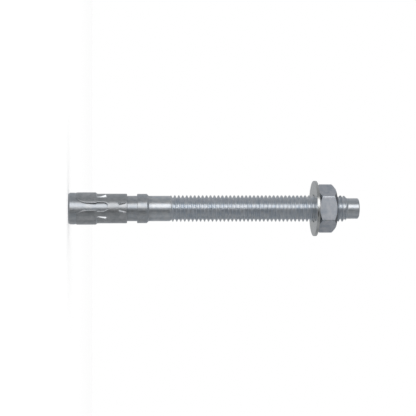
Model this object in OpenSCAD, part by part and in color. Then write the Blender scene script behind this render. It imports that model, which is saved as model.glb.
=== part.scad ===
// Wedge anchor: a bolt with an expander cone, its sheet-steel expansion clip, a washer and a hex nut.
// The axis is Z. The flat end of the cone lies on z = 0, and the nut is near the top.
// -Y faces the viewer, and the clip's slot faces that way, turned a little towards -X.

/* [Bolt] */
// Overall length, from the cone end to the tip of the dog point
overall_length = 110; // [100:1:160]
// Outer diameter of the thread
thread_d = 10; // [9.8:0.1:10.6]
// Pitch of the thread
thread_pitch = 1.5; // [1.25:0.25:2]
// Depth of the thread's grooves
thread_depth = 0.92; // [0.7:0.01:1]
// Axial length of the chamfer between the thread and the dog point
thread_lead = 1.2; // [0.8:0.1:2]
// Axial length of the chamfer that starts the thread at the shank
thread_start = 0.3; // [0.2:0.1:0.6]
// Length of the plain shank between the collar and the thread
shank_length = 7.6; // [4:0.1:14]
// Diameter of the plain shank
shank_d = 9.5; // [9:0.1:9.8]
// Diameter of the collar that stops the clip
collar_d = 11; // [10.6:0.1:11.6]
// Length of the collar's cylinder
collar_length = 3.6; // [2:0.1:6]
// Axial length of the chamfer behind the collar
collar_bevel = 0.7; // [0.4:0.1:1.2]
// Small chamfer on the collar's front edge
collar_edge = 0.15; // [0.1:0.05:0.3]
// Diameter of the waist that the clip is wrapped round
waist_d = 9.5; // [9:0.1:9.8]
// Largest diameter of the expander cone
cone_d = 11.9; // [11.6:0.1:12.4]
// Length of the straight band at the cone's large end, its chamfer included
cone_land = 2.2; // [1.6:0.1:3]
// Axial length of the cone's taper
cone_length = 9.2; // [8:0.1:11]
// Chamfer on the cone's end face
cone_edge = 0.6; // [0.3:0.1:1]
// Diameter of the unthreaded dog point
dog_d = 7.8; // [7:0.1:8.2]
// Length of the dog point's cylinder, up to its edge
dog_length = 4.1; // [3:0.1:6]
// Chamfer round the dog point's end
dog_edge = 0.3; // [0.2:0.1:0.6]
// Height of the shallow dome on the dog point's end
dog_dome = 0.2; // [0.1:0.05:0.4]

/* [Expansion clip] */
// Thickness of the clip's sheet round the waist
clip_wall = 0.75; // [0.6:0.05:0.9]
// Thickness of the fingers at their tips, where they are pressed thin
tip_wall = 0.3; // [0.2:0.05:0.5]
// Overall length of the clip
clip_length = 19; // [18:0.1:24]
// Bare waist between the clip and the collar, which is how far the clip can slide back
clip_travel = 3.8; // [2:0.1:6]
// Distance from the cone's straight band to the finger tips
clip_setback = 0.8; // [0.5:0.1:1.5]
// Radial gap between the clip and the bolt
clip_gap = 0.05; // [0.03:0.01:0.1]
// Length over which the fingers keep their full spread
finger_band = 5; // [4:0.1:5.5]
// Length over which the fingers come down from that spread to the clip's body
finger_fall = 2.8; // [2:0.1:4]
// Number of slots; the clip's seam opens out of the last one
slot_count = 2; // [2:1:3]
// Turn of the first slot from the front, about the axis
slot_turn = 8; // [0:1:45]
// Length of a slot, from the finger tips to its round end
slot_length = 11.7; // [10.5:0.1:12.5]
// Width of a slot at its round end
slot_width = 3; // [2.4:0.1:3.4]
// Width of a slot where it is narrowest
throat_width = 2.5; // [2:0.1:2.9]
// Distance from the finger tips to the step where a slot widens
throat_end = 7.2; // [6.5:0.1:8]
// Axial length of that step
throat_step = 0.3; // [0.2:0.1:0.5]
// Length of a slot's flared mouth
mouth_length = 4.4; // [3:0.1:5]
// Width that a slot's mouth gains at the finger tips
mouth_flare = 2.7; // [1.5:0.1:3.5]
// Width of the open seam where the two ends of the strip meet
seam_width = 0.8; // [0.4:0.1:1.2]

/* [Nibs and ribs on the clip] */
// Angle between a slot and the nib on either side of it
nib_angle = 42; // [38:1:48]
// How far the nibs stay below the fingers' full spread
nib_sink = 0.05; // [0.02:0.01:0.15]
// Distance from a nib's rear end to the level of the slot's round end
nib_setback = 0.6; // [0.3:0.1:1]
// Width of a nib at its rear end
nib_width = 1.5; // [1:0.1:2]
// Width of a nib at its front end, where it runs out into the finger
nib_point = 0.5; // [0.3:0.1:0.9]
// Length of the slope at a nib's rear end
nib_slope = 0.5; // [0.3:0.1:0.8]
// Length of the two ribs at the clip's rear edge
rib_length = 2.8; // [2:0.1:4]
// Distance from the ribs to the clip's rear edge
rib_setback = 0.4; // [0.2:0.1:1]
// Width of a rib
rib_width = 0.7; // [0.5:0.1:1]
// Height of a rib above the clip's body
rib_height = 0.3; // [0.2:0.05:0.4]
// Distance between the ribs' centre lines at their front ends
rib_gap = 2; // [1.8:0.1:2.4]
// How much further apart the ribs are at their rear ends
rib_spread = 2; // [1:0.1:2.4]

/* [Washer] */
// Outer diameter of the washer
washer_d = 21; // [19:0.5:25]
// Thickness of the washer
washer_t = 1.1; // [0.8:0.1:2.5]
// Radial gap between the washer's hole and the thread
washer_gap = 0.25; // [0.15:0.05:0.5]
// Small chamfer that stands in for the rounding of the stamped rim
washer_edge = 0.15; // [0.1:0.05:0.3]

/* [Nut] */
// Width of the nut across its flats
nut_flats = 16; // [15:0.5:18]
// Height of the nut
nut_height = 7.1; // [5:0.1:8.4]
// Radial distance from the flats to the round face that the chamfer leaves
nut_face_inset = 0.4; // [0.2:0.1:0.6]
// Angle of the chamfer on the corners, from the nut's face
nut_chamfer_angle = 34; // [20:1:38]
// Radial gap between the nut's bore and the thread's crests
nut_gap = 0.05; // [0.03:0.01:0.1]
// Chamfer at each mouth of the nut's bore
nut_mouth = 0.4; // [0.2:0.1:0.8]
// Length from the nut's outer face to the end of the full thread
nut_projection = 3.4; // [2:0.1:12]

/* [Hidden] */
$fn = 96;

// What a cut runs past the faces that it opens
cut_over = 1;
arc_steps = 8;
// Width of the thread's crests and of its roots, as a share of the pitch
thread_flat = 0.125;
// How far a nib's front end reaches into the finger's wall
nib_bury = 0.6;

// Levels along the axis, from the cone end
cone_end_z = cone_land + cone_length;
tip_z = cone_land + clip_setback;
clip_end_z = tip_z + clip_length;
collar_z = clip_end_z + clip_travel;
collar_end_z = collar_z + collar_length;
shank_z = collar_end_z + collar_bevel;
thread_z = shank_z + shank_length;
dog_edge_z = overall_length - dog_dome - dog_edge;
dog_z = dog_edge_z - dog_length;
thread_end_z = dog_z - thread_lead;
nut_top_z = thread_end_z - nut_projection;
nut_z = nut_top_z - nut_height;
washer_z = nut_z - washer_t;

// Radii
cone_r = cone_d / 2;
waist_r = waist_d / 2;
collar_r = collar_d / 2;
shank_r = shank_d / 2;
thread_r = thread_d / 2;
dog_r = dog_d / 2;
body_r = waist_r + clip_gap + clip_wall;
tip_inner_r = cone_radius_at(tip_z) + clip_gap;
finger_r = tip_inner_r + tip_wall;
tip_edge = tip_wall / 3;
// The nibs and ribs are rooted in the middle of the sheet
root_r = body_r - clip_wall / 2;

// Radius of the cone's taper at the level z
function cone_radius_at(z) = cone_r - (z - cone_land) * (cone_r - waist_r) / cone_length;

// Points on a shallow dome of the given rim radius and height, from the rim to the axis
function dome_points(rim_r, rim_z, height) =
    [for (i = [1:arc_steps])
        let (r = rim_r * (1 - i / arc_steps))
        [r, rim_z + height * (1 - pow(r / rim_r, 2))]];

// The thread as plain rings, one for each pitch, from the shank towards the dog point
full_thread_z = thread_z + thread_start;
ring_count = floor((thread_end_z - full_thread_z) / thread_pitch);
flat_width = thread_flat * thread_pitch;
flank_width = thread_pitch / 2 - flat_width;
ring_points = [for (i = [0:ring_count - 1])
    let (z = full_thread_z + i * thread_pitch)
    for (point = [
        [thread_r, z],
        [thread_r, z + flat_width],
        [thread_r - thread_depth, z + flat_width + flank_width],
        [thread_r - thread_depth, z + 2 * flat_width + flank_width]
    ])
        point];

// The bolt's outline, from the axis at the cone end round to the axis at the dog point
bolt_outline = concat(
    [
        [0, 0],
        [cone_r - cone_edge, 0],
        [cone_r, cone_edge],
        [cone_r, cone_land],
        [waist_r, cone_end_z],
        [waist_r, collar_z],
        [collar_r - collar_edge, collar_z],
        [collar_r, collar_z + collar_edge],
        [collar_r, collar_end_z],
        [shank_r, shank_z],
        [shank_r, thread_z]
    ],
    ring_points,
    [
        [thread_r, full_thread_z + ring_count * thread_pitch],
        [thread_r, thread_end_z],
        [dog_r, dog_z],
        [dog_r, dog_edge_z],
        [dog_r - dog_edge, dog_edge_z + dog_edge]
    ],
    dome_points(dog_r - dog_edge, dog_edge_z + dog_edge, dog_dome)
);

// The section of the clip's wall: it follows the cone inside, and the fingers stand spread outside
clip_section = [
    [tip_inner_r, tip_z],
    [finger_r - tip_edge, tip_z],
    [finger_r, tip_z + tip_edge],
    [finger_r, tip_z + finger_band],
    [body_r, tip_z + finger_band + finger_fall],
    [body_r, clip_end_z],
    [waist_r + clip_gap, clip_end_z],
    [waist_r + clip_gap, cone_end_z]
];

// Extrudes an outline of (sideways, along the axis) outwards from the axis, in the direction angle
module radial(angle, depth) {
    rotate([0, 0, angle])
        rotate([90, 0, 90])
            linear_extrude(height = depth)
                children();
}

// Half the width of a slot's flared mouth, at the distance s from the finger tips
function mouth_half(s) = throat_width / 2 + mouth_flare / 2 * pow(1 - s / mouth_length, 2);

// One side of a slot: the flared mouth, the narrow throat, the step and a quarter of the round end
slot_round_z = tip_z + slot_length - slot_width / 2;
slot_side = concat(
    [[mouth_half(0), tip_z - cut_over]],
    [for (i = [0:arc_steps]) let (s = mouth_length * i / arc_steps) [mouth_half(s), tip_z + s]],
    [[throat_width / 2, tip_z + throat_end], [slot_width / 2, tip_z + throat_end + throat_step]],
    [for (i = [0:arc_steps])
        let (a = 90 * i / arc_steps)
        [slot_width / 2 * cos(a), slot_round_z + slot_width / 2 * sin(a)]]
);
slot_outline = concat(
    slot_side,
    [for (i = [len(slot_side) - 2:-1:0]) [-slot_side[i][0], slot_side[i][1]]]
);

module slot(angle) {
    radial(angle, finger_r + cut_over)
        polygon(slot_outline);
}

// The open joint between the two ends of the rolled strip
module seam(angle) {
    radial(angle, finger_r + cut_over)
        translate([-seam_width / 2, tip_z - cut_over])
            square([seam_width, clip_length + 2 * cut_over]);
}

// A nib carries the fingers' spread rearwards, widens on the way and ends in a short slope.
// Its front end and its root lie inside the sheet.
module nib(angle) {
    fall_z = tip_z + finger_band;
    rear_z = tip_z + slot_length - nib_setback;
    front_z = fall_z - nib_bury;
    slope_z = rear_z - nib_slope;
    top_r = finger_r - nib_sink;
    root_z = slope_z + nib_slope * (top_r - root_r) / (top_r - body_r);
    intersection() {
        rotate_extrude()
            polygon([
                [body_r, front_z],
                [top_r, front_z],
                [top_r, slope_z],
                [root_r, root_z],
                [root_r, fall_z + finger_fall]
            ]);
        radial(angle, finger_r + cut_over)
            polygon(concat(
                [[-nib_point / 2, front_z - cut_over], [nib_point / 2, front_z - cut_over]],
                [for (i = [0:arc_steps])
                    let (a = 180 * i / arc_steps)
                    [nib_width / 2 * cos(a), root_z - nib_width / 2 + nib_width / 2 * sin(a)]]
            ));
    }
}

// One of the two ribs behind the front slot; side is 1 or -1
module rib(angle, side) {
    rear_z = clip_end_z - rib_setback;
    front_z = rear_z - rib_length;
    top_r = body_r + rib_height;
    near = side * rib_gap / 2;
    far = near + side * rib_spread / 2;
    intersection() {
        rotate_extrude()
            polygon([
                [root_r, front_z],
                [top_r, front_z + top_r - root_r],
                [top_r, rear_z - top_r + root_r],
                [root_r, rear_z]
            ]);
        radial(angle, finger_r + cut_over)
            polygon([
                [near - rib_width / 2, front_z - cut_over],
                [near + rib_width / 2, front_z - cut_over],
                [far + rib_width / 2, rear_z + cut_over],
                [far - rib_width / 2, rear_z + cut_over]
            ]);
    }
}

// The direction of slot number i, where 0 is the front one
function slot_angle(i) = -90 - slot_turn + 360 * i / slot_count;

module anchor_bolt() {
    color("lightsteelblue")
        rotate_extrude()
            polygon(bolt_outline);
}

module expansion_clip() {
    color("silver")
        difference() {
            union() {
                rotate_extrude()
                    polygon(clip_section);
                for (i = [0:slot_count - 1])
                    for (side = [-1, 1])
                        nib(slot_angle(i) + side * nib_angle);
                for (side = [-1, 1])
                    rib(slot_angle(0), side);
            }
            for (i = [0:slot_count - 1])
                slot(slot_angle(i));
            seam(slot_angle(slot_count - 1));
        }
}

module washer() {
    bore_r = thread_r + washer_gap;
    rim_r = washer_d / 2;
    color("gainsboro")
        rotate_extrude()
            polygon([
                [bore_r, washer_z],
                [rim_r - washer_edge, washer_z],
                [rim_r, washer_z + washer_edge],
                [rim_r, nut_z - washer_edge],
                [rim_r - washer_edge, nut_z],
                [bore_r, nut_z]
            ]);
}

// The hexagon's corners lie on the X axis, so one flat faces the viewer
module hex_nut() {
    corner_r = nut_flats / 2 / cos(30);
    face_r = nut_flats / 2 - nut_face_inset;
    bore_r = thread_r + nut_gap;
    fall = (corner_r - face_r) * tan(nut_chamfer_angle);
    color("slategray")
        intersection() {
            translate([0, 0, nut_z])
                cylinder(r = corner_r, h = nut_height, $fn = 6);
            rotate_extrude()
                polygon([
                    [bore_r + nut_mouth, nut_z],
                    [face_r, nut_z],
                    [corner_r, nut_z + fall],
                    [corner_r, nut_top_z - fall],
                    [face_r, nut_top_z],
                    [bore_r + nut_mouth, nut_top_z],
                    [bore_r, nut_top_z - nut_mouth],
                    [bore_r, nut_z + nut_mouth]
                ]);
        }
}

anchor_bolt();
expansion_clip();
washer();
hex_nut();
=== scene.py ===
import math

import bmesh
import bpy
from mathutils import Matrix, Vector


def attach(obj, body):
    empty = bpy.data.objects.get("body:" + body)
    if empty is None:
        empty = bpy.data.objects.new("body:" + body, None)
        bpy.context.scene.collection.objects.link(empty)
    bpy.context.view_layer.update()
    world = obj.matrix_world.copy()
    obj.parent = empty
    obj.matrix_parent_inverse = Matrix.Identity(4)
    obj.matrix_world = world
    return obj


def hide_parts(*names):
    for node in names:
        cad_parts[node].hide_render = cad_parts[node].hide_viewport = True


# Looks of the wedge anchor M10 x 110: bolt, expansion clip, washer and nut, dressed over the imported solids
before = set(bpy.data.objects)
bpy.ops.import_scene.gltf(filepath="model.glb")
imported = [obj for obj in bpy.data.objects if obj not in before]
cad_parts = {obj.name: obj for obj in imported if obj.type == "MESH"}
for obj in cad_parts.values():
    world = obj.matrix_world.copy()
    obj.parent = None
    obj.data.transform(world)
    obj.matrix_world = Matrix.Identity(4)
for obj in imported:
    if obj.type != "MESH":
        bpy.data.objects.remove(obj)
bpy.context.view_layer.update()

# Lengths are in millimetres where nothing else is said. Points closer than MERGE_MM become one.
MM = 0.001
MERGE_MM = 0.001

# Bolt: the levels along the axis and the radii that the solids have
CONE_RADIUS = 5.95
CONE_EDGE = 0.6
CONE_LAND = 2.2
CONE_END = 11.4
WAIST_RADIUS = 4.75
COLLAR_START = 25.8
COLLAR_END = 29.4
COLLAR_RADIUS = 5.5
SHANK_START = 30.1
SHANK_RADIUS = 4.75
THREAD_START = 37.7
THREAD_END = 104.2
DOG_START = 105.4
DOG_RADIUS = 3.9
DOG_EDGE_Z = 109.5
DOG_EDGE = 0.3
# How much the dog point's end rises from half its radius to its middle
DOG_CROWN = 0.05
OVERALL = 110.0
SOFT_EDGE = 0.12
SOFT_EDGE_STEPS = 3

# Thread, ISO metric coarse M10
PITCH = 1.5
CREST_RADIUS = 5.0
ROOT_RADIUS = 4.08
RUN_OUT = 1.6
ROWS_PER_TURN = 16
THREAD_SEGMENTS = 96
# The profile falls between these shares of the way from a crest to a root, and is flat beyond them
CREST_SHARE = 0.04
ROOT_SHARE = 0.84
# Share of a turn that keeps a row from falling just short of a crest, and the reach that closes the seam
PHASE_NUDGE = 0.0005
SEAM_REACH = 0.002
NUT_THREAD_GAP = 0.06
NUT_MINOR_RADIUS = 4.19
NO_RUN_OUT = 0.001

# Expansion clip
CLIP_TIP = 3.0
CLIP_END = 22.0
CLIP_GAP = 0.05
LEAST_WALL = 0.05
BODY_RADIUS = 5.55
FINGER_RADIUS = 6.05
FINGER_BAND = 7.2
SLOT_SIDE_BAND = 6.4
FINGER_FALL = 0.8
SLOT_SIDE_FALL = 3.0
SLOT_TURN = 8.0
SLOT_LENGTH = 11.7
SLOT_WIDTH = 3.15
SLOT_END = CLIP_TIP + SLOT_LENGTH
SLOT_ROUND_START = SLOT_END - SLOT_WIDTH / 2
THROAT_WIDTH = 2.25
THROAT_END = 7.5
THROAT_STEP = 0.2
MOUTH_LENGTH = 4.4
MOUTH_FLARE = 2.7
SEAM_WIDTH = 0.8
FINGER_CORNER = 0.7
FINGER_CORNER_REACH = 3.0
EDGE_ROUND = 0.32
CLIP_SHARP_DEGREES = 50
# Nibs: the distances of their crests from the slot's middle, and NIB_FLANK, their flanks' rise for each mm
NIB_START = 8.2
NIB_END = 14.5
NIB_CREST_FRONT = 3.2
NIB_CREST_REAR = 4.75
NIB_HEIGHT = 0.78
NIB_GROWTH = 2.4
NIB_FLANK = 0.95
LEAST_FLANK = 0.15
NIB_DROP = 0.3
NIB_REAR_SLOPE = 0.35
# Ribs: the distance of their crests from the middle between them, which lies below the slot's middle line
RIB_START = 18.6
RIB_END = 21.7
RIB_CREST_FRONT = 1.4
RIB_CREST_REAR = 2.0
RIB_SHIFT = 0.42
RIB_HALF_WIDTH = 0.5
UPPER_RIB_HEIGHT = 0.32
LOWER_RIB_HEIGHT = 0.16
# Rows of the clip's mesh, from front to rear
EDGE_ROWS = 5
FRONT_ROWS = 70
BEND_ROWS = 14
BACK_ROWS = 60
# Its columns, from a cut edge to a finger's middle; the first ones take EDGE_SHARE of the way to a nib
EDGE_SHARE = 0.3
EDGE_COLUMNS = 8
SIDE_COLUMNS = 34
FLANK_COLUMNS = 10
DROP_COLUMNS = 4
MIDDLE_COLUMNS = 14

# Washer and nut
WASHER_START = 92.6
WASHER_BORE = 5.25
WASHER_RADIUS = 10.5
WASHER_ROUND = 0.15
WASHER_ROUND_STEPS = 4
WASHER_SEGMENTS = 128
NUT_START = 93.7
NUT_END = 100.8
NUT_FLATS = 16.0
NUT_FACE_RADIUS = 7.6
NUT_CHAMFER_DEGREES = 38.0
NUT_CORNER = 0.35
NUT_CORNER_STEPS = 5
NUT_FLAT_STEPS = 14
NUT_SIDE_STEPS = 6
NUT_MOUTH_RADIUS = 5.4

# Zinc plating: the range of its noise that shows, and what its grain does to the colour and the roughness
NOISE_DETAIL = 3.0
CLOUD_SIZE = 1.8
CLOUD_LOW = 0.35
CLOUD_HIGH = 0.65
GRAIN_LOW = 0.3
GRAIN_HIGH = 0.7
DARK_GRAIN = 0.9
BRIGHT_GRAIN = 1.05
SMOOTH_GRAIN = 0.85
ROUGH_GRAIN = 1.2
GRAIN_STRENGTH = 0.6
# Cosines between a face's normal and the outward direction: cut faces with painted shade, slopes with a
# painted highlight, outer faces
SHADED_CUT_FACING = 0.1
SLOPE_FACING = 0.5
PRESSED_FACING = 0.8
OUTER_FACING = 0.95
# Cosines between a face's normal and the axis, which tell the sides from the lathe-cut ends that get painted
# shade
SIDE_FACING = 0.4
END_FACING = 0.6
TORN_ROUGHNESS = 0.5
# Painted highlight on the clip's slopes: how much brighter their colour is, and their roughness
PRESSED_HIGHLIGHT_GAIN = 1.25
PRESSED_ROUGHNESS = 0.2
# The nut's rubbed corners: how far the rubbing reaches, the painted highlight's gain, and their roughness
WORN_REACH = 0.15
WORN_HIGHLIGHT_GAIN = 1.25
WORN_ROUGHNESS = 0.25
# Roughness of the nut's lathe-cut faces, whose colour is darkened as painted shade
TURNED_ROUGHNESS = 0.22
# Painted highlight on the bolt from the shank up, with the thread's burnish: how much brighter its colour is
ROLLED_HIGHLIGHT_GAIN = 1.2
SHARP_DEGREES = 28

# Room: the directions of its walls, and the cosines at which each wall or card starts and is full
REAR_WALL = (-0.3, 0.95, 0)
REAR_WALL_START = -0.2
REAR_WALL_FULL = 0.9
DARK_WALL = (0, 0.53, 0.85)
DARK_WALL_START = 0.85
DARK_WALL_FULL = 0.95
DARK_WALL_STRENGTH = 0.6
BLACK_CARD_BELOW_DEGREES = 20
BLACK_CARD_START = 0.965
BLACK_CARD_FULL = 0.982
FLOOR_RADIUS = 1500
FLOOR_SEGMENTS = 64

# Camera: where it stands and looks along the bolt, how far off, how far to the side, its lens and its film
CAMERA_LEVEL = 12.0
CAMERA_AIM = 52.5
CAMERA_DISTANCE = 500.0
CAMERA_SIDE = -0.19
CAMERA_LENS = 115.0
CAMERA_FILM = 36.0
CAMERA_NEAREST = 10.0
CAMERA_FARTHEST = 20000.0


def linear(hex_colour):
    """An sRGB hex colour as the linear RGBA that a shader takes."""
    channels = []
    for start in (1, 3, 5):
        value = int(hex_colour[start:start + 2], 16) / 255
        channels.append(value / 12.92 if value <= 0.04045 else ((value + 0.055) / 1.055) ** 2.4)
    return (*channels, 1.0)


def add_node(tree, kind, inputs=(), **settings):
    """Adds a node, sets its properties, and sets or links its inputs, by name or, as a list, by place.

    A node that is given as an input stands for its first output.
    """
    node = tree.nodes.new(kind)
    for name, value in settings.items():
        setattr(node, name, value)
    for key, value in inputs.items() if isinstance(inputs, dict) else enumerate(inputs):
        if isinstance(value, bpy.types.Node):
            value = value.outputs[0]
        if isinstance(value, bpy.types.NodeSocket):
            tree.links.new(value, node.inputs[key])
        else:
            node.inputs[key].default_value = value
    return node


def recoloured_where(tree, mask, colour, rough, brightness, roughness):
    """Colour and roughness that change where a mask is 1: one by a factor, the other to a value."""
    changed = add_node(tree, "ShaderNodeVectorMath", {0: colour, "Scale": brightness}, operation="SCALE")
    mixed = add_node(tree, "ShaderNodeMix", {"Factor": mask, 6: colour, 7: changed}, data_type="RGBA")
    blended = add_node(tree, "ShaderNodeMix", {"Factor": mask, 2: rough, 3: roughness})
    return mixed.outputs[2], blended.outputs[0]


def new_material(name):
    """A material and its empty node tree."""
    material = bpy.data.materials.new(name)
    material.use_nodes = True
    material.node_tree.nodes.clear()
    return material, material.node_tree


def zinc_plated_steel(name, colour, tint, roughness, grain_mm, grain_depth, streaks,
                      cut_face_shade=0.0, worn_highlight_radius=0.0, turned_shade=0.0, rolled_highlight_from=0.0):
    """Steel with a bright zinc plating: the coat evens the surface and leaves a faint cloudy tint.

    grain_mm and grain_depth are the size and the depth of the grain, and streaks stretches it along the
    axis, as drawn wire shows it. The real grain is finer: this one is as coarse as it has to be to show.
    cut_face_shade darkens the faces that don't look outwards as painted shade, and roughens them as sheared.
    With it, the slopes beside the outer faces get a painted highlight, and the press rubbed them smoother.
    worn_highlight_radius is where the coat starts to be rubbed thin, on corners that a spanner turns, and
    where the colour is brightened as a painted highlight.
    turned_shade darkens the faces that look along the axis as painted shade, and smooths them as a lathe cut
    them.
    rolled_highlight_from is the level above which the colour gets a painted highlight and the thread's
    burnish.
    """
    material, tree = new_material(name)
    coordinates = add_node(tree, "ShaderNodeTexCoord")
    place = coordinates.outputs["Object"]
    normal = coordinates.outputs["Normal"]
    drawn = add_node(tree, "ShaderNodeMapping", {"Vector": place, "Scale": (1, 1, 1 / streaks)})
    grain = add_node(tree, "ShaderNodeTexNoise", {
        "Vector": drawn, "Scale": 1 / (grain_mm * MM), "Detail": NOISE_DETAIL,
    }).outputs["Fac"]
    clouds = add_node(tree, "ShaderNodeTexNoise", {
        "Vector": place, "Scale": 1 / (CLOUD_SIZE * MM), "Detail": NOISE_DETAIL,
    }).outputs["Fac"]
    patches = add_node(tree, "ShaderNodeMapRange", {
        "Value": clouds, "From Min": CLOUD_LOW, "From Max": CLOUD_HIGH,
    })
    tinted = add_node(tree, "ShaderNodeMix", {
        "Factor": patches, 6: linear(colour), 7: linear(tint),
    }, data_type="RGBA")
    shade = add_node(tree, "ShaderNodeMapRange", {
        "Value": grain, "From Min": GRAIN_LOW, "From Max": GRAIN_HIGH,
        "To Min": DARK_GRAIN, "To Max": BRIGHT_GRAIN,
    })
    coloured = add_node(
        tree, "ShaderNodeVectorMath", [tinted.outputs[2], shade], operation="MULTIPLY",
    ).outputs[0]
    rough = add_node(tree, "ShaderNodeMapRange", {
        "Value": grain, "From Min": GRAIN_LOW, "From Max": GRAIN_HIGH,
        "To Min": roughness * SMOOTH_GRAIN, "To Max": roughness * ROUGH_GRAIN,
    }).outputs[0]
    outwards = add_node(tree, "ShaderNodeVectorMath", [place, (1, 1, 0)], operation="MULTIPLY")
    if cut_face_shade:
        radial = add_node(tree, "ShaderNodeVectorMath", [outwards], operation="NORMALIZE")
        facing = add_node(
            tree, "ShaderNodeVectorMath", [normal, radial], operation="DOT_PRODUCT",
        ).outputs["Value"]
        # Painted shade: the colour of the faces that don't look outwards is darkened, and they are rougher
        # as sheared
        torn_cut_shade = add_node(tree, "ShaderNodeMapRange", {
            "Value": facing, "From Min": SHADED_CUT_FACING, "From Max": SLOPE_FACING,
            "To Min": 1.0, "To Max": 0.0,
        })
        # Painted highlight: the colour of the slopes beside the outer faces is brightened, and they are
        # smoother
        pressed_highlight = add_node(tree, "ShaderNodeMapRange", {
            "Value": facing, "From Min": PRESSED_FACING, "From Max": OUTER_FACING,
            "To Min": 1.0, "To Max": 0.0,
        })
        coloured, rough = recoloured_where(tree, pressed_highlight, coloured, rough, PRESSED_HIGHLIGHT_GAIN, PRESSED_ROUGHNESS)
        coloured, rough = recoloured_where(tree, torn_cut_shade, coloured, rough, 1 - cut_face_shade, TORN_ROUGHNESS)
    if worn_highlight_radius:
        reach = add_node(tree, "ShaderNodeVectorMath", [outwards], operation="LENGTH").outputs["Value"]
        # Painted highlight on the nut's rubbed corners: the colour is brighter beyond this radius
        worn_highlight = add_node(tree, "ShaderNodeMapRange", {
            "Value": reach, "From Min": worn_highlight_radius * MM, "From Max": (worn_highlight_radius + WORN_REACH) * MM,
        })
        coloured, rough = recoloured_where(tree, worn_highlight, coloured, rough, WORN_HIGHLIGHT_GAIN, WORN_ROUGHNESS)
    if turned_shade:
        along_axis = add_node(tree, "ShaderNodeSeparateXYZ", [normal]).outputs["Z"]
        either_way = add_node(tree, "ShaderNodeMath", [along_axis], operation="ABSOLUTE")
        # Painted shade on the nut's chamfers and ends: darker colour where the faces look along the axis
        cut = add_node(tree, "ShaderNodeMapRange", {
            "Value": either_way, "From Min": SIDE_FACING, "From Max": END_FACING,
        })
        coloured, rough = recoloured_where(tree, cut, coloured, rough, 1 - turned_shade, TURNED_ROUGHNESS)
    if rolled_highlight_from:
        # Painted highlight from the shank up, with the rolled thread's burnish: brighter colour above this
        # level
        level = add_node(tree, "ShaderNodeSeparateXYZ", [place]).outputs["Z"]
        rolled = add_node(tree, "ShaderNodeMapRange", {
            "Value": level, "From Min": rolled_highlight_from * MM, "From Max": (rolled_highlight_from + PITCH) * MM,
        })
        coloured, rough = recoloured_where(tree, rolled, coloured, rough, ROLLED_HIGHLIGHT_GAIN, roughness)
    bump = add_node(tree, "ShaderNodeBump", {
        "Height": grain, "Distance": grain_depth * MM, "Strength": GRAIN_STRENGTH,
    })
    surface = add_node(tree, "ShaderNodeBsdfPrincipled", {
        "Base Color": coloured, "Roughness": rough, "Normal": bump, "Metallic": 1.0,
    })
    add_node(tree, "ShaderNodeOutputMaterial", {"Surface": surface})
    return material


def cold_formed_steel():
    """The bolt: drawn wire, cold-formed, with a fine grain along it, and brighter from the shank up: a
    burnished thread and a painted highlight.
    """
    return zinc_plated_steel(
        "zinc-plated cold-formed steel", colour="#d1d7de", tint="#e3e5e8", roughness=0.32,
        grain_mm=0.12, grain_depth=0.004, streaks=12, rolled_highlight_from=SHANK_START,
    )


def sheet_steel():
    """The clip: rolled sheet, with painted shade on the faces the shears cut and a painted highlight on the
    slopes the press left.
    """
    return zinc_plated_steel(
        "zinc-plated sheet steel", colour="#c8ccd0", tint="#dfe0e3", roughness=0.33,
        grain_mm=0.15, grain_depth=0.004, streaks=3, cut_face_shade=0.6,
    )


def stamped_steel():
    """The washer: smooth cold-rolled strip, the palest and shiniest of the four."""
    return zinc_plated_steel(
        "zinc-plated stamped steel", colour="#f2f4f5", tint="#f4f4f2", roughness=0.22,
        grain_mm=0.12, grain_depth=0.004, streaks=1,
    )


def forged_steel():
    """The nut: matt and bluish, its corners rubbed and brightened as a painted highlight, and its lathe-cut
    faces smooth and darkened as painted shade.
    """
    return zinc_plated_steel(
        "matt zinc-plated forged steel", colour="#cbd2dc", tint="#e4e6ec", roughness=0.48,
        grain_mm=0.16, grain_depth=0.01, streaks=1, worn_highlight_radius=8.95, turned_shade=0.4,
    )


def finished(name, mesh, material, sharp_degrees=SHARP_DEGREES):
    """An object at the origin for a finished mesh, smooth but for its sharp edges."""
    mesh.name = name
    mesh.materials.clear()
    mesh.materials.append(material)
    mesh.shade_smooth()
    mesh.set_sharp_from_angle(angle=math.radians(sharp_degrees))
    piece = bpy.data.objects.new(name, mesh)
    bpy.context.scene.collection.objects.link(piece)
    return piece


def mesh_of(name, shape):
    """A clean mesh from a bmesh in millimetres: merged, closed seams, faces outwards, in metres."""
    bmesh.ops.remove_doubles(shape, verts=shape.verts, dist=MERGE_MM)
    bmesh.ops.dissolve_degenerate(shape, edges=shape.edges, dist=MERGE_MM / 2)
    loose = [vertex for vertex in shape.verts if not vertex.link_faces]
    bmesh.ops.delete(shape, geom=loose, context="VERTS")
    bmesh.ops.recalc_face_normals(shape, faces=shape.faces)
    bmesh.ops.scale(shape, vec=(MM, MM, MM), verts=shape.verts)
    mesh = bpy.data.meshes.new(name)
    shape.to_mesh(mesh)
    shape.free()
    return mesh


def on_circle(radius, angle, level):
    """A point at a radius and an angle round the axis, at a level."""
    return Vector((radius * math.cos(angle), radius * math.sin(angle), level))


def rounded(outline, radius, steps):
    """An outline of (radius, level) points whose inner corners are rounded in a number of steps."""
    points = [Vector(point) for point in outline]
    result = [points[0]]
    for before, corner, after in zip(points, points[1:], points[2:]):
        reach = min(radius, (corner - before).length / 2, (after - corner).length / 2)
        start = corner + (before - corner).normalized() * reach
        end = corner + (after - corner).normalized() * reach
        for step in range(steps + 1):
            t = step / steps
            result.append(start * (1 - t) ** 2 + corner * 2 * t * (1 - t) + end * t ** 2)
    result.append(points[-1])
    return result


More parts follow.
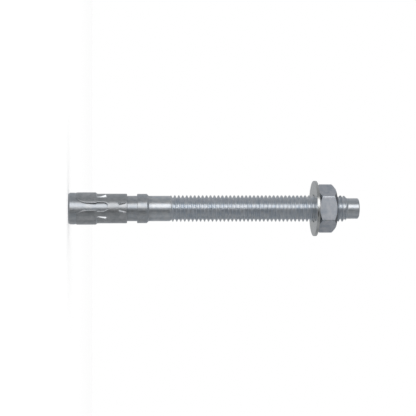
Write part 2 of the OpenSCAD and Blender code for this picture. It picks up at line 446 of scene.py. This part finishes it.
def lathe(shape, outline, segments):
    """Adds the surface that an outline of (radius, level) points sweeps round the axis."""
    rings = []
    for radius, level in outline:
        if radius == 0:
            rings.append([shape.verts.new((0, 0, level))] * segments)
        else:
            rings.append([
                shape.verts.new(on_circle(radius, 2 * math.pi * i / segments, level))
                for i in range(segments)
            ])
    for low, high in zip(rings, rings[1:]):
        for i in range(segments):
            j = (i + 1) % segments
            corners = []
            for vertex in (low[i], low[j], high[j], high[i]):
                if vertex not in corners:
                    corners.append(vertex)
            shape.faces.new(corners)


def thread_rows(tree, given):
    """The thread's flat grid, with each point's share of the way round, turns climbed and level.

    The grid is sheared by one pitch round the axis, so its rows follow the helix and its seam closes one
    turn up. Rows beyond Start and End collapse onto those levels.
    """
    start, end, pitch, phase_level = (given[name] for name in ("Start", "End", "Pitch", "Phase level"))
    to_start = add_node(tree, "ShaderNodeMath", [start, phase_level], operation="SUBTRACT")
    pitches_before = add_node(tree, "ShaderNodeMath", [to_start, pitch], operation="DIVIDE")
    turns_before = add_node(tree, "ShaderNodeMath", [pitches_before], operation="FLOOR")
    base = add_node(tree, "ShaderNodeMath", [turns_before, pitch, phase_level], operation="MULTIPLY_ADD")
    to_end = add_node(tree, "ShaderNodeMath", [end, base], operation="SUBTRACT")
    pitches = add_node(tree, "ShaderNodeMath", [to_end, pitch], operation="DIVIDE")
    whole_turns = add_node(tree, "ShaderNodeMath", [pitches], operation="CEIL")
    turns = add_node(tree, "ShaderNodeMath", [whole_turns, 1.0], operation="ADD")
    rows = add_node(tree, "ShaderNodeMath", [turns, given["Rows per turn"]], operation="MULTIPLY")
    grid = add_node(tree, "GeometryNodeMeshGrid", {
        "Size X": 1.0,
        "Size Y": 1.0,
        "Vertices X": add_node(tree, "ShaderNodeMath", [given["Segments"], 1.0], operation="ADD"),
        "Vertices Y": add_node(tree, "ShaderNodeMath", [rows, 1.0], operation="ADD"),
    })
    flat = add_node(tree, "ShaderNodeSeparateXYZ", [add_node(tree, "GeometryNodeInputPosition")])
    round_share = add_node(tree, "ShaderNodeMath", [flat.outputs["X"], 0.5], operation="ADD")
    along_share = add_node(tree, "ShaderNodeMath", [flat.outputs["Y"], 0.5], operation="ADD")
    rows_along = add_node(tree, "ShaderNodeMath", [along_share, rows], operation="MULTIPLY")
    row = add_node(tree, "ShaderNodeMath", [rows_along], operation="ROUND")
    climb = add_node(tree, "ShaderNodeMath", [row, given["Rows per turn"]], operation="DIVIDE")
    turn_below = add_node(tree, "ShaderNodeMath", [climb, 1.0], operation="SUBTRACT")
    sheared = add_node(tree, "ShaderNodeMath", [turn_below, round_share], operation="ADD")
    free_level = add_node(tree, "ShaderNodeMath", [sheared, pitch, base], operation="MULTIPLY_ADD")
    over_start = add_node(tree, "ShaderNodeMath", [free_level, start], operation="MAXIMUM")
    level = add_node(tree, "ShaderNodeMath", [over_start, end], operation="MINIMUM")
    return grid, round_share, climb, level


def thread_profile(tree, given, climb):
    """The radius of the endless thread, which falls from crest to root and back within each turn."""
    crest = given["Crest radius"]
    nudged = add_node(tree, "ShaderNodeMath", [climb, PHASE_NUDGE], operation="ADD")
    phase = add_node(tree, "ShaderNodeMath", [nudged], operation="FRACT")
    past_root = add_node(tree, "ShaderNodeMath", [phase, 2.0, -1.0], operation="MULTIPLY_ADD")
    from_root = add_node(tree, "ShaderNodeMath", [past_root], operation="ABSOLUTE")
    from_crest = add_node(tree, "ShaderNodeMath", [1.0, from_root], operation="SUBTRACT")
    depth = add_node(tree, "ShaderNodeMapRange", {
        "Value": from_crest, "From Min": CREST_SHARE, "From Max": ROOT_SHARE,
    }, interpolation_type="SMOOTHSTEP")
    groove = add_node(tree, "ShaderNodeMath", [given["Root radius"], crest], operation="SUBTRACT")
    return add_node(tree, "ShaderNodeMath", [depth, groove, crest], operation="MULTIPLY_ADD")


def thread_radius(tree, given, climb, level):
    """The thread's radius at each point: the profile with its run-out, lead, bore and mouths."""
    crest, shank, lead_radius = (given[name] for name in ("Crest radius", "Shank radius", "Lead radius"))
    from_start = add_node(tree, "ShaderNodeMath", [level, given["Start"]], operation="SUBTRACT")
    to_end = add_node(tree, "ShaderNodeMath", [given["End"], level], operation="SUBTRACT")
    run_out_share = add_node(tree, "ShaderNodeMath", [from_start, given["Run-out"]], operation="DIVIDE")
    grown = add_node(tree, "ShaderNodeMapRange", {"Value": run_out_share}, interpolation_type="SMOOTHSTEP")
    threaded = thread_profile(tree, given, climb)
    over_shank = add_node(tree, "ShaderNodeMath", [threaded, shank], operation="SUBTRACT")
    from_shank = add_node(tree, "ShaderNodeMath", [over_shank, grown, shank], operation="MULTIPLY_ADD")
    lead_share = add_node(tree, "ShaderNodeMath", [to_end, given["Lead length"]], operation="DIVIDE")
    lead_rise = add_node(tree, "ShaderNodeMath", [crest, lead_radius], operation="SUBTRACT")
    lead = add_node(tree, "ShaderNodeMath", [lead_share, lead_rise, lead_radius], operation="MULTIPLY_ADD")
    led_in = add_node(tree, "ShaderNodeMath", [from_shank, lead], operation="MINIMUM")
    bored = add_node(tree, "ShaderNodeMath", [led_in, given["Least radius"]], operation="MAXIMUM")
    low_mouth = add_node(tree, "ShaderNodeMath", [given["Mouth radius"], from_start], operation="SUBTRACT")
    high_mouth = add_node(tree, "ShaderNodeMath", [given["Mouth radius"], to_end], operation="SUBTRACT")
    mouth = add_node(tree, "ShaderNodeMath", [low_mouth, high_mouth], operation="MAXIMUM")
    return add_node(tree, "ShaderNodeMath", [bored, mouth], operation="MAXIMUM")


def screw_thread_tree():
    """Geometry Nodes: a right-hand screw thread as one skin round the axis, from Start to End, in metres.

    A crest lies at Phase level where the angle round the axis is 0.
    """
    tree = bpy.data.node_groups.new("screw thread", "GeometryNodeTree")
    lengths = (
        "Start", "End", "Phase level", "Pitch", "Crest radius", "Root radius", "Shank radius", "Run-out",
        "Lead length", "Lead radius", "Least radius", "Mouth radius",
    )
    for name in lengths:
        tree.interface.new_socket(name=name, in_out="INPUT", socket_type="NodeSocketFloat")
    for name in ("Segments", "Rows per turn"):
        tree.interface.new_socket(name=name, in_out="INPUT", socket_type="NodeSocketInt")
    tree.interface.new_socket(name="Material", in_out="INPUT", socket_type="NodeSocketMaterial")
    tree.interface.new_socket(name="Geometry", in_out="OUTPUT", socket_type="NodeSocketGeometry")
    given = add_node(tree, "NodeGroupInput").outputs
    grid, round_share, climb, level = thread_rows(tree, given)
    radius = thread_radius(tree, given, climb, level)
    angle = add_node(tree, "ShaderNodeMath", [round_share, 2 * math.pi], operation="MULTIPLY")
    cosine = add_node(tree, "ShaderNodeMath", [angle], operation="COSINE")
    sine = add_node(tree, "ShaderNodeMath", [angle], operation="SINE")
    place = add_node(tree, "ShaderNodeCombineXYZ", {
        "X": add_node(tree, "ShaderNodeMath", [radius, cosine], operation="MULTIPLY"),
        "Y": add_node(tree, "ShaderNodeMath", [radius, sine], operation="MULTIPLY"),
        "Z": level,
    })
    wound = add_node(tree, "GeometryNodeSetPosition", {"Geometry": grid, "Position": place})
    closed = add_node(tree, "GeometryNodeMergeByDistance", {"Geometry": wound, "Distance": SEAM_REACH * MM})
    real = add_node(tree, "GeometryNodeRealizeInstances", {"Geometry": closed})
    coated = add_node(tree, "GeometryNodeSetMaterial", {"Geometry": real, "Material": given["Material"]})
    add_node(tree, "NodeGroupOutput", {"Geometry": coated})
    return tree


def screw_thread(tree, material, lengths_mm):
    """Runs the thread tree and returns its skin as a bmesh in millimetres."""
    holder = bpy.data.objects.new("thread_holder", bpy.data.meshes.new("thread_holder"))
    bpy.context.scene.collection.objects.link(holder)
    modifier = holder.modifiers.new("screw thread", "NODES")
    modifier.node_group = tree
    settings = {name: value * MM for name, value in lengths_mm.items()}
    settings.update({"Segments": THREAD_SEGMENTS, "Rows per turn": ROWS_PER_TURN, "Material": material})
    for socket in tree.interface.items_tree:
        if socket.in_out == "INPUT":
            modifier[socket.identifier] = settings[socket.name]
    evaluated = holder.evaluated_get(bpy.context.evaluated_depsgraph_get())
    mesh = bpy.data.meshes.new_from_object(evaluated)
    bpy.data.objects.remove(holder)
    shape = bmesh.new()
    shape.from_mesh(mesh)
    bpy.data.meshes.remove(mesh)
    bmesh.ops.scale(shape, vec=(1 / MM,) * 3, verts=shape.verts)
    return shape


def anchor_bolt(tree, material):
    """The whole cold-formed bolt as one closed skin: cone, waist, collar, shank, thread and dog point."""
    shape = screw_thread(tree, material, {
        "Start": THREAD_START, "End": DOG_START, "Phase level": THREAD_START, "Pitch": PITCH,
        "Crest radius": CREST_RADIUS, "Root radius": ROOT_RADIUS,
        "Shank radius": SHANK_RADIUS, "Run-out": RUN_OUT,
        "Lead length": DOG_START - THREAD_END, "Lead radius": DOG_RADIUS,
        "Least radius": 0.0, "Mouth radius": 0.0,
    })
    foot = [
        (0, 0), (CONE_RADIUS - CONE_EDGE, 0), (CONE_RADIUS, CONE_EDGE), (CONE_RADIUS, CONE_LAND),
        (WAIST_RADIUS, CONE_END), (WAIST_RADIUS, COLLAR_START), (COLLAR_RADIUS, COLLAR_START),
        (COLLAR_RADIUS, COLLAR_END), (SHANK_RADIUS, SHANK_START), (SHANK_RADIUS, THREAD_START),
    ]
    lathe(shape, rounded(foot, SOFT_EDGE, SOFT_EDGE_STEPS), THREAD_SEGMENTS)
    dog = [
        (DOG_RADIUS, DOG_START), (DOG_RADIUS, DOG_EDGE_Z), (DOG_RADIUS - DOG_EDGE, DOG_EDGE_Z + DOG_EDGE),
        (DOG_RADIUS / 2, OVERALL - DOG_CROWN), (0, OVERALL),
    ]
    lathe(shape, rounded(dog, SOFT_EDGE, SOFT_EDGE_STEPS), THREAD_SEGMENTS)
    piece = finished("bolt_body", mesh_of("bolt_body", shape), material)
    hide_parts("anchor_bolt")
    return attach(piece, "bolt")


def slot_half_width(level):
    """Half the width of a slot at a level: flared mouth, throat, step and round end; 0 beyond it."""
    along = level - CLIP_TIP
    round_level = SLOT_LENGTH - SLOT_WIDTH / 2
    if along >= SLOT_LENGTH:
        return 0.0
    if along > round_level:
        return math.sqrt((SLOT_WIDTH / 2) ** 2 - (along - round_level) ** 2)
    step = min(max((along - THROAT_END) / THROAT_STEP, 0), 1)
    half = (THROAT_WIDTH + (SLOT_WIDTH - THROAT_WIDTH) * step) / 2
    if along < MOUTH_LENGTH:
        half += MOUTH_FLARE / 2 * (1 - max(along, 0) / MOUTH_LENGTH) ** 2
    return half


def smooth_step(value):
    """A value held between 0 and 1, which leaves 0 and reaches 1 gently."""
    value = min(max(value, 0), 1)
    return value * value * (3 - 2 * value)


def round_off(distance, radius):
    """How far an edge's rounding drops at a distance from the edge; 0 beyond the rounding."""
    if distance >= radius:
        return 0.0
    return radius - math.sqrt(radius ** 2 - (radius - distance) ** 2)


def slot_side_radius(level):
    """Outer radius between a slot and its nibs, where a finger comes down gently to the clip's body."""
    slope = smooth_step((level - CLIP_TIP - SLOT_SIDE_BAND) / SLOT_SIDE_FALL)
    return FINGER_RADIUS + (BODY_RADIUS - FINGER_RADIUS) * slope


def along_nib(level):
    """How far a level is along a nib, from 0 at its front to 1 at its rear."""
    return min(max((level - NIB_START) / (NIB_END - NIB_START), 0), 1)


def nib_rise(level):
    """Height of a nib's crest over the slot's side, which grows ever faster rearwards."""
    return NIB_HEIGHT * along_nib(level) ** NIB_GROWTH


def nib_crest(level):
    """Distance of a nib's crest from the slot's middle, along the sheet; it grows rearwards."""
    return NIB_CREST_FRONT + (NIB_CREST_REAR - NIB_CREST_FRONT) * along_nib(level)


def nib_flank_width(level):
    """Width along the sheet of the flank that rises from the slot's side to a nib's crest."""
    return max(nib_rise(level) / NIB_FLANK, LEAST_FLANK)


def nib_height(level, across):
    """Share of its full height that a nib has: a flank that rises away from the slot, then a short drop."""
    crest = nib_crest(level)
    rise = min(max((across - crest) / nib_flank_width(level) + 1, 0), 1)
    drop = 1 - smooth_step((across - crest) / NIB_DROP)
    rear = smooth_step((NIB_END - level) / NIB_REAR_SLOPE)
    return min(rise, drop) * rear


def rib_height(level, across):
    """Height of the two ribs, which have flat flanks and lean apart towards the rear."""
    along = min(max((level - RIB_START) / (RIB_END - RIB_START), 0), 1)
    crest = RIB_CREST_FRONT + (RIB_CREST_REAR - RIB_CREST_FRONT) * along
    side = 1 - abs(abs(across - RIB_SHIFT) - crest) / RIB_HALF_WIDTH
    ends = min(level - RIB_START, RIB_END - level) / RIB_HALF_WIDTH
    crest_height = UPPER_RIB_HEIGHT if across < RIB_SHIFT else LOWER_RIB_HEIGHT
    return crest_height * max(side, 0) * smooth_step(ends)


def clip_outer_radius(level, from_slot, from_edge, below_front):
    """Outer radius of the sheet.

    from_slot and from_edge are distances along the sheet, from a slot's middle and the nearest cut edge.
    below_front is the distance below the front slot's middle line, negative above it.
    Beyond the nibs the fingers come down to the clip's body in a short step.
    """
    step = smooth_step((level - CLIP_TIP - FINGER_BAND) / FINGER_FALL)
    stepped = FINGER_RADIUS + (BODY_RADIUS - FINGER_RADIUS) * step
    beyond_nib = smooth_step((from_slot - nib_crest(level)) / NIB_DROP)
    slot_side = slot_side_radius(level)
    radius = slot_side * (1 - beyond_nib) + stepped * beyond_nib
    if level > NIB_START:
        radius += (slot_side + nib_rise(level) - radius) * nib_height(level, from_slot)
    return radius + rib_height(level, below_front) - round_off(from_edge, EDGE_ROUND)


def clip_inner_radius(level):
    """Inner radius of the sheet, which lies close round the cone and the waist."""
    cone = CONE_RADIUS - (level - CONE_LAND) * (CONE_RADIUS - WAIST_RADIUS) / (CONE_END - CONE_LAND)
    return max(cone, WAIST_RADIUS) + CLIP_GAP


def clip_levels():
    """Levels of the clip's rows: close together at both cut ends and where the slot's end is round."""
    front_end = CLIP_TIP + EDGE_ROUND
    back_end = CLIP_END - EDGE_ROUND
    quarter = [math.pi / 2 * i / EDGE_ROWS for i in range(EDGE_ROWS + 1)]
    first = [CLIP_TIP + EDGE_ROUND * (1 - math.cos(angle)) for angle in quarter[:-1]]
    front = [front_end + (SLOT_ROUND_START - front_end) * i / FRONT_ROWS for i in range(FRONT_ROWS)]
    bend = [
        SLOT_ROUND_START + SLOT_WIDTH / 2 * math.sin(math.pi / 2 * i / BEND_ROWS) for i in range(BEND_ROWS)
    ]
    back = [SLOT_END + (back_end - SLOT_END) * i / BACK_ROWS for i in range(BACK_ROWS)]
    last = [CLIP_END - EDGE_ROUND * (1 - math.sin(angle)) for angle in quarter]
    return first + front + bend + back + last


def clip_turns(level, low, high):
    """Angles of a finger's columns from the slot's middle, between its two edges at low and high.

    The columns follow the nibs' flanks, and lie close together along both edges.
    """
    crest = nib_crest(level)
    marks = [mark / BODY_RADIUS for mark in (crest - nib_flank_width(level), crest, crest + NIB_DROP)]
    stops = [low, *marks, *[math.pi - mark for mark in reversed(marks)], high]
    to_flank = [EDGE_SHARE * (1 - math.cos(math.pi / 2 * i / EDGE_COLUMNS)) for i in range(EDGE_COLUMNS)]
    to_flank += [EDGE_SHARE + (1 - EDGE_SHARE) * i / SIDE_COLUMNS for i in range(SIDE_COLUMNS)]
    half = [to_flank] + [[i / columns for i in range(columns)] for columns in (FLANK_COLUMNS, DROP_COLUMNS)]
    middle = [i / MIDDLE_COLUMNS for i in range(MIDDLE_COLUMNS)]
    other_half = [[0] + [1 - share for share in reversed(shares[1:])] for shares in reversed(half)]
    turns = []
    for start, end, shares in zip(stops, stops[1:], half + [middle] + other_half):
        turns += [start + (end - start) * share for share in shares]
    return turns + [high]


def clip_row(level, finger, inner):
    """Points of one row across a finger, on its outer or its inner skin; finger is 1 or -1.

    Towards the cut edges the row bends rearwards, which rounds the corners of the finger's tip.
    """
    half = slot_half_width(level)
    low = half / BODY_RADIUS
    high = math.pi - max(half, SEAM_WIDTH / 2) / BODY_RADIUS
    bend = max(0.0, 1 - (level - CLIP_TIP) / FINGER_CORNER_REACH)
    slot_angle = math.radians(-90 - SLOT_TURN)
    row = []
    for turn in clip_turns(level, low, high):
        from_slot = min(turn, math.pi - turn) * BODY_RADIUS
        to_side = min(turn - low if half > 0 else math.pi, high - turn) * BODY_RADIUS
        shown = level + round_off(to_side, FINGER_CORNER) * bend
        if level > SLOT_ROUND_START and half > 0:
            to_side = min(to_side, math.hypot(from_slot, level - SLOT_ROUND_START) - SLOT_WIDTH / 2)
        from_edge = max(min(to_side, level - CLIP_TIP, CLIP_END - level), 0)
        radius = clip_inner_radius(shown)
        if not inner:
            outside = clip_outer_radius(shown, from_slot, from_edge, finger * turn * BODY_RADIUS)
            radius = max(outside, radius + LEAST_WALL)
        row.append(on_circle(radius, slot_angle + finger * turn, shown))
    return row


def join(shape, row, other):
    """Adds the faces between two rows of vertices."""
    for a, b, c, d in zip(row, row[1:], other[1:], other):
        shape.faces.new((a, b, c, d))


def expansion_clip(material):
    """The rolled sheet: two fingers that follow the slots' edges, each with two skins and a rim between."""
    shape = bmesh.new()
    levels = clip_levels()
    slot_rows = sum(slot_half_width(level) > 0 for level in levels)
    for finger in (1, -1):
        skins = []
        for inner in (False, True):
            grid = [
                [shape.verts.new(place) for place in clip_row(level, finger, inner)] for level in levels
            ]
            for row, following in zip(grid, grid[1:]):
                join(shape, row, following)
            skins.append(grid)
        outer, inner = skins
        join(shape, outer[0], inner[0])
        join(shape, outer[-1], inner[-1])
        join(shape, [row[-1] for row in outer], [row[-1] for row in inner])
        join(shape, [row[0] for row in outer[:slot_rows + 1]], [row[0] for row in inner[:slot_rows + 1]])
    piece = finished("clip_sheet", mesh_of("clip_sheet", shape), material, CLIP_SHARP_DEGREES)
    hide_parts("expansion_clip")
    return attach(piece, "clip")


def washer(material):
    """The washer: one ring with soft edges."""
    shape = bmesh.new()
    middle = (WASHER_START + NUT_START) / 2
    ring = [
        (WASHER_BORE, middle), (WASHER_BORE, WASHER_START), (WASHER_RADIUS, WASHER_START),
        (WASHER_RADIUS, NUT_START), (WASHER_BORE, NUT_START), (WASHER_BORE, middle),
    ]
    lathe(shape, rounded(ring, WASHER_ROUND, WASHER_ROUND_STEPS), WASHER_SEGMENTS)
    piece = finished("washer_ring", mesh_of("washer_ring", shape), material)
    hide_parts("washer")
    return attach(piece, "washer")


def hexagon_points(flats, corner_radius):
    """Points round a hexagon with rounded corners, corners on the X axis."""
    half_corner = math.radians(30)
    to_centre = (flats / 2 - corner_radius) / math.cos(half_corner)
    points = []
    for corner in range(6):
        middle = math.radians(60 * corner)
        following = math.radians(60 * (corner + 1))
        centre = on_circle(to_centre, middle, 0)
        arc = [
            centre + on_circle(corner_radius, middle + math.radians(-30 + 60 * i / NUT_CORNER_STEPS), 0)
            for i in range(NUT_CORNER_STEPS + 1)
        ]
        flat_end = on_circle(to_centre, following, 0) + on_circle(corner_radius, following - half_corner, 0)
        points += arc
        points += [arc[-1].lerp(flat_end, i / NUT_FLAT_STEPS) for i in range(1, NUT_FLAT_STEPS)]
    return points


def hex_nut(tree, material):
    """The nut: hexagon, a cone's chamfer on both faces, and a true thread with countersunk mouths."""
    crest_radius = CREST_RADIUS + NUT_THREAD_GAP
    shape = screw_thread(tree, material, {
        "Start": NUT_START, "End": NUT_END, "Phase level": THREAD_START, "Pitch": PITCH,
        "Crest radius": crest_radius, "Root radius": ROOT_RADIUS + NUT_THREAD_GAP,
        "Shank radius": CREST_RADIUS, "Run-out": NO_RUN_OUT,
        "Lead length": PITCH, "Lead radius": crest_radius,
        "Least radius": NUT_MINOR_RADIUS, "Mouth radius": NUT_MOUTH_RADIUS,
    })
    slope = math.tan(math.radians(NUT_CHAMFER_DEGREES))
    columns = []
    for point in hexagon_points(NUT_FLATS, NUT_CORNER):
        flat = Vector((point.x, point.y))
        radius = flat.length
        face = flat.normalized() * min(NUT_FACE_RADIUS, radius)
        drop = max(radius - NUT_FACE_RADIUS, 0) * slope
        column = [face.to_3d() + Vector((0, 0, NUT_START))]
        for i in range(NUT_SIDE_STEPS + 1):
            level = NUT_START + drop + (NUT_END - NUT_START - 2 * drop) * i / NUT_SIDE_STEPS
            column.append(Vector((flat.x, flat.y, level)))
        column.append(face.to_3d() + Vector((0, 0, NUT_END)))
        columns.append([shape.verts.new(place) for place in column])
    for left, right in zip(columns, columns[1:] + columns[:1]):
        for a, b, c, d in zip(left, right, right[1:], left[1:]):
            shape.faces.new((a, b, c, d))
    for level, end in ((NUT_START, 0), (NUT_END, -1)):
        rim = [column[end] for column in columns]
        mouth = [
            shape.verts.new(on_circle(NUT_MOUTH_RADIUS, 2 * math.pi * i / THREAD_SEGMENTS, level))
            for i in range(THREAD_SEGMENTS)
        ]
        edges = [shape.edges.get(pair) or shape.edges.new(pair) for pair in zip(rim, rim[1:] + rim[:1])]
        edges += [shape.edges.new(pair) for pair in zip(mouth, mouth[1:] + mouth[:1])]
        bmesh.ops.bridge_loops(shape, edges=edges)
    piece = finished("nut_body", mesh_of("nut_body", shape), material)
    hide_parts("hex_nut")
    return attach(piece, "nut")


def pale_floor():
    """A pale floor under the cone's end. It takes the object's shadow, and the metal doesn't mirror it."""
    material, tree = new_material("pale studio floor")
    matt = add_node(tree, "ShaderNodeBsdfDiffuse", {"Color": linear("#fcfcfc")})
    add_node(tree, "ShaderNodeOutputMaterial", {"Surface": matt})
    shape = bmesh.new()
    bmesh.ops.create_circle(shape, cap_ends=True, radius=FLOOR_RADIUS, segments=FLOOR_SEGMENTS)
    mesh = mesh_of("studio_floor", shape)
    mesh.materials.append(material)
    floor = bpy.data.objects.new("studio_floor", mesh)
    bpy.context.scene.collection.objects.link(floor)
    floor.visible_glossy = False
    floor.visible_shadow = False


def soft_light(name, degrees_above, distance, size, power):
    """A soft box that looks at the middle of the bolt, from an angle above the camera's side.

    Its size is its length along the bolt and its width, and both are in metres, as its distance is.
    """
    lamp = bpy.data.lights.new(name, "AREA")
    lamp.shape = "RECTANGLE"
    lamp.size, lamp.size_y = size
    lamp.energy = power
    box = bpy.data.objects.new(name, lamp)
    above = math.radians(degrees_above)
    back = Vector((-math.sin(above), -math.cos(above), 0))
    along = Vector((0, 0, 1))
    box.matrix_world = Matrix((along, back.cross(along), back)).transposed().to_4x4()
    box.location = Vector((0, 0, OVERALL / 2 * MM)) + back * distance
    box.visible_camera = False
    bpy.context.scene.collection.objects.link(box)


def studio_light():
    """A long soft strip above the camera for the bright band, and a weak one below."""
    soft_light("strip", degrees_above=25, distance=0.6, size=(1.4, 0.38), power=1.6)
    soft_light("low_card", degrees_above=-75, distance=0.7, size=(1.4, 0.4), power=0.13)


def studio_room():
    """The room that the metal mirrors, with its walls and a black card. All else sees plain white."""
    world = bpy.data.worlds.new("studio")
    world.use_nodes = True
    tree = world.node_tree
    tree.nodes.clear()
    path = add_node(tree, "ShaderNodeLightPath")
    direction = add_node(tree, "ShaderNodeTexCoord").outputs["Generated"]
    below = math.radians(BLACK_CARD_BELOW_DEGREES)
    black_card_place = (math.sin(below), -math.cos(below), 0)
    to_rear_wall, to_dark_wall, to_black_card = [
        add_node(tree, "ShaderNodeVectorMath", [direction, aim], operation="DOT_PRODUCT").outputs["Value"]
        for aim in (REAR_WALL, DARK_WALL, black_card_place)
    ]
    behind = add_node(tree, "ShaderNodeMapRange", {
        "Value": to_rear_wall, "From Min": REAR_WALL_START, "From Max": REAR_WALL_FULL,
    })
    walls = add_node(tree, "ShaderNodeMix", {
        "Factor": behind, 6: linear("#747677"), 7: linear("#a0a2a4"),
    }, data_type="RGBA")
    dark_wall = add_node(tree, "ShaderNodeMapRange", {
        "Value": to_dark_wall, "From Min": DARK_WALL_START, "From Max": DARK_WALL_FULL,
        "To Min": 1.0, "To Max": DARK_WALL_STRENGTH,
    })
    black_card = add_node(tree, "ShaderNodeMapRange", {
        "Value": to_black_card, "From Min": BLACK_CARD_START, "From Max": BLACK_CARD_FULL,
        "To Min": 1.0, "To Max": 0.0,
    }, interpolation_type="SMOOTHSTEP")
    strength = add_node(tree, "ShaderNodeMath", [dark_wall, black_card], operation="MULTIPLY")
    room = add_node(tree, "ShaderNodeBackground", {"Color": walls.outputs[2], "Strength": strength})
    white = add_node(tree, "ShaderNodeBackground", {"Color": linear("#ffffff"), "Strength": 1.0})
    seen = add_node(tree, "ShaderNodeMixShader", [path.outputs["Is Glossy Ray"], white, room])
    add_node(tree, "ShaderNodeOutputWorld", {"Surface": seen})
    bpy.context.scene.world = world


def camera():
    """A long lens: the bolt lies level with its cone at the left, and is seen from a little to the left."""
    target = Vector((CAMERA_SIDE, 0, CAMERA_AIM)) * MM
    eye = Vector((CAMERA_SIDE, -CAMERA_DISTANCE, CAMERA_LEVEL)) * MM
    back = (eye - target).normalized()
    up = Vector((-1, 0, 0))
    right = up.cross(back).normalized()
    data = bpy.data.cameras.new("camera")
    data.sensor_width = CAMERA_FILM
    data.lens = CAMERA_LENS
    data.clip_start = CAMERA_NEAREST * MM
    data.clip_end = CAMERA_FARTHEST * MM
    view = bpy.data.objects.new("camera", data)
    view.matrix_world = Matrix((right, up, back)).transposed().to_4x4()
    view.location = eye
    bpy.context.scene.collection.objects.link(view)
    bpy.context.scene.camera = view


def main():
    """Builds the four pieces with their materials, the stage, the lights and the camera."""
    tree = screw_thread_tree()
    anchor_bolt(tree, cold_formed_steel())
    expansion_clip(sheet_steel())
    washer(stamped_steel())
    hex_nut(tree, forged_steel())
    pale_floor()
    studio_light()
    studio_room()
    camera()
    bpy.context.scene.view_settings.view_transform = "Standard"


main()
